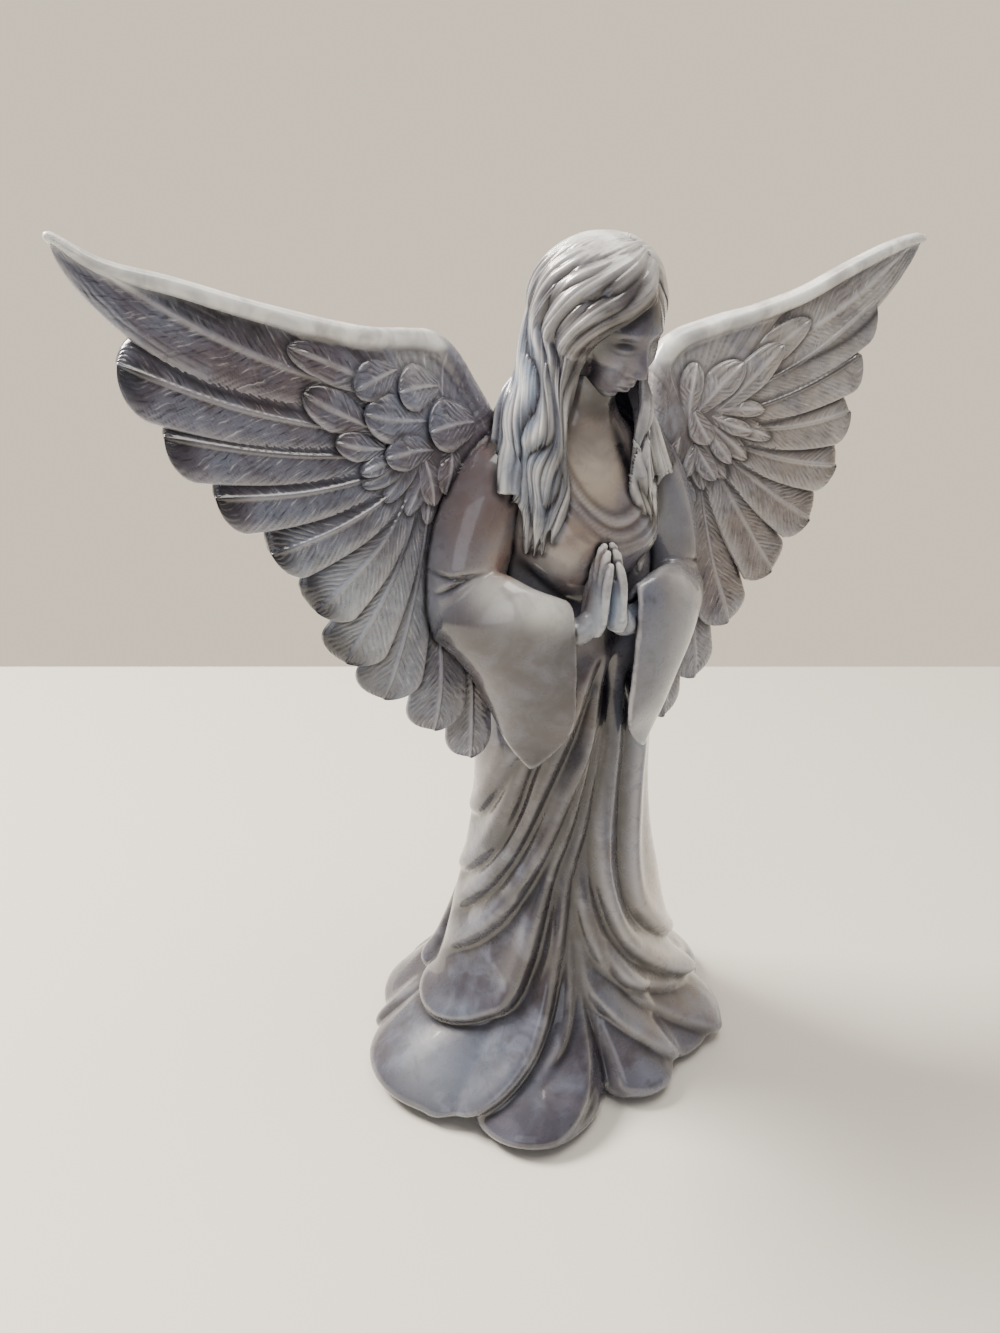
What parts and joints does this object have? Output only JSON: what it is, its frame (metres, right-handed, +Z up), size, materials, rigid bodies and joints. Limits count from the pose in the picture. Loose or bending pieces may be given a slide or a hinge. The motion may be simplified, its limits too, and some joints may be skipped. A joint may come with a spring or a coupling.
{
  "type": "praying angel figurine",
  "caption": "Glazed ceramic angel figurine with spread feathered wings, bowed head, long hair, praying hands, bell sleeves and a swirling gown that stands on its hem.",
  "frame": {"origin": "on the flat underside, below the axis of the gown", "axes": "+Z up, the figure faces -Y, the wings spread along X, and +X is the figure's own left"},
  "size_m": [0.318, 0.1382, 0.3316],
  "materials": {
    "glazed_ceramic": "glossy fired glaze, slate and lavender grey, darker in the grooves"
  },
  "bodies": {
    "root": {"praying_angel": "glazed_ceramic"}
  },
  "joints": []
}
